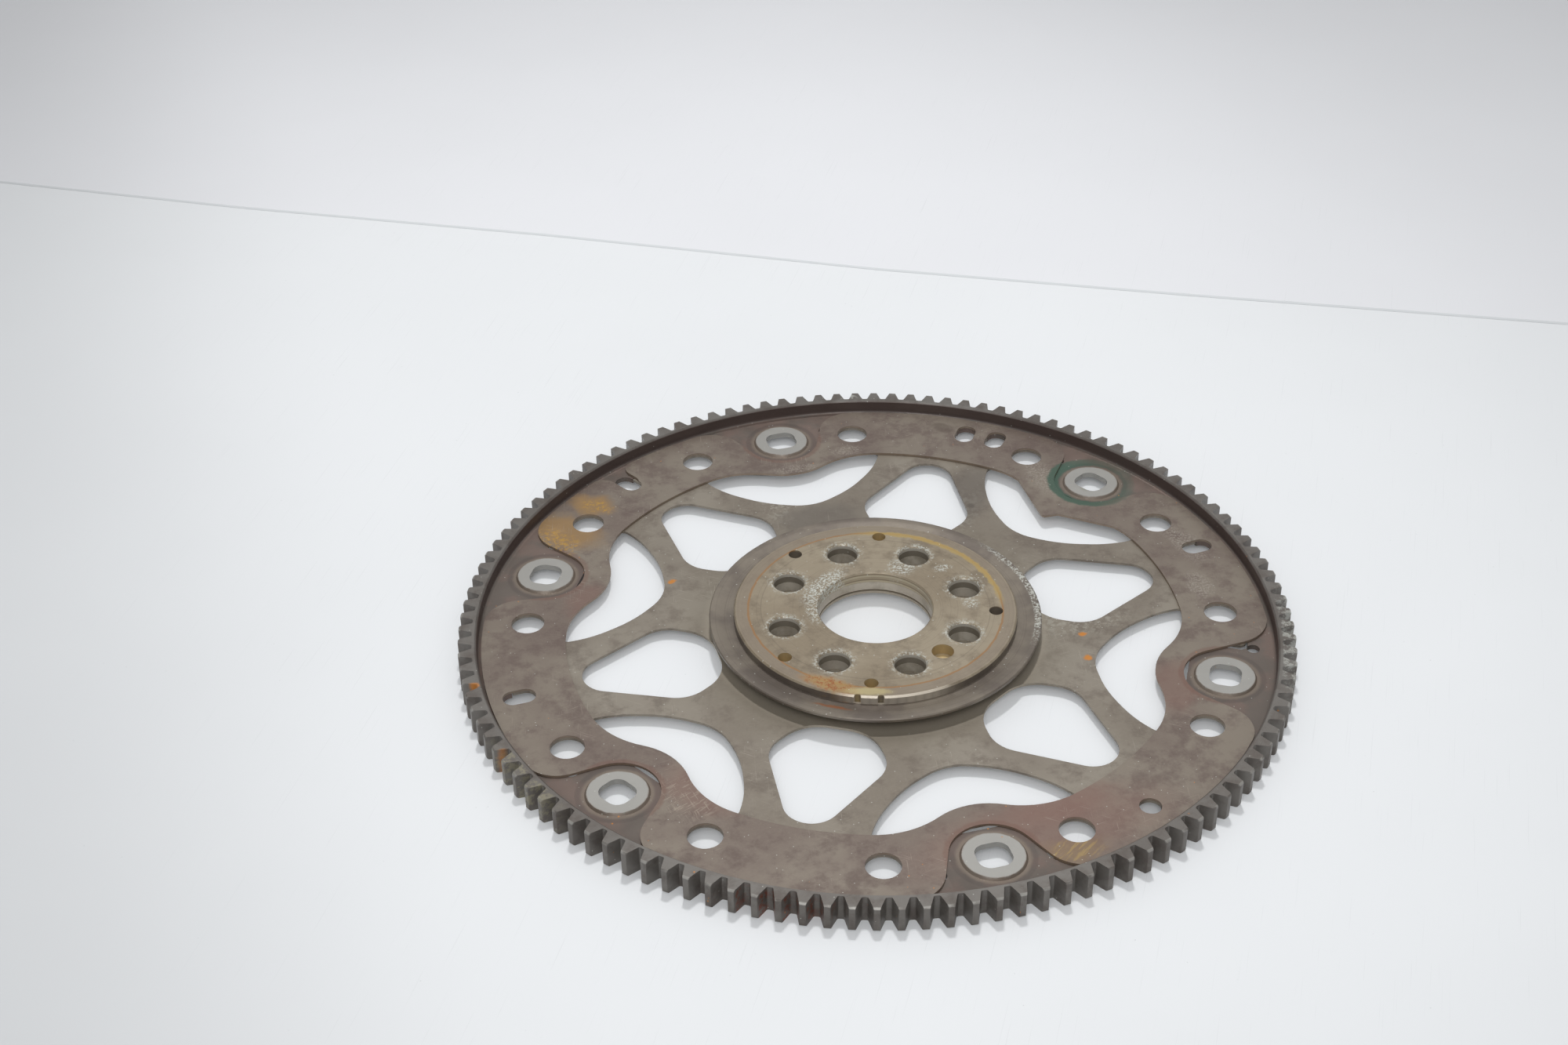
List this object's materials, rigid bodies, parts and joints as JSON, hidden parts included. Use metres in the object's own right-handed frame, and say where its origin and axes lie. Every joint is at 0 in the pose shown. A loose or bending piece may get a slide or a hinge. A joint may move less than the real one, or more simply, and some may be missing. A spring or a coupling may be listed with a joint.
{
  "type": "flexplate",
  "caption": "Thin steel drive plate with a toothed rim, slotted lug pads, windowed spokes and a stepped hub with a bolt circle; it joins an engine's crankshaft to a torque converter.",
  "frame": {"origin": "on the plate's axis, level with the ring gear's underside", "axes": "+Z along the axis, from the ring gear's underside towards the raised hub face; +Y towards one converter lug"},
  "size_m": [0.31, 0.31, 0.0129],
  "materials": {
    "gear_steel": "dull grey-brown steel with light rust on the teeth",
    "cover_steel": "dull purplish-brown steel, stained and scratched",
    "spoke_steel": "dull brown-grey steel with pale mottling",
    "spacer_steel": "dull brown-grey steel",
    "hub_steel": "turned steel with orange rust and white corrosion"
  },
  "bodies": {
    "root": {"ring_gear": "gear_steel", "cover_ring": "cover_steel", "spoke_disc": "spoke_steel", "hub_spacer": "spacer_steel", "hub_plate": "hub_steel"}
  },
  "joints": []
}
